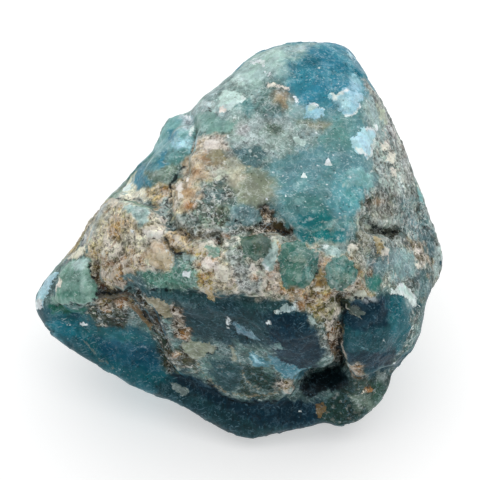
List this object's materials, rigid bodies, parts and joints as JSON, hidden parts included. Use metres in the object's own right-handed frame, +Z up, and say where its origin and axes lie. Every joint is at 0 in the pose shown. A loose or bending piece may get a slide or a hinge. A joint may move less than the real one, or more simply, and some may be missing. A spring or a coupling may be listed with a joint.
{
  "type": "rough apatite",
  "caption": "Rough, lightly tumbled apatite stone: an irregular faceted lump with ledges, clefts and worn flats that rests on a small flat foot.",
  "frame": {"origin": "on the table, under the middle of the stone's bounding box", "axes": "+Z up from the flat foot, +X along the stone's width, -Y towards the broad face that the picture shows"},
  "size_m": [0.055, 0.042, 0.0408],
  "materials": {
    "apatite": "waxy, lightly tumbled natural apatite, blue green with cream and rust coloured crust"
  },
  "bodies": {
    "root": {"apatite_stone": "apatite"}
  },
  "joints": []
}
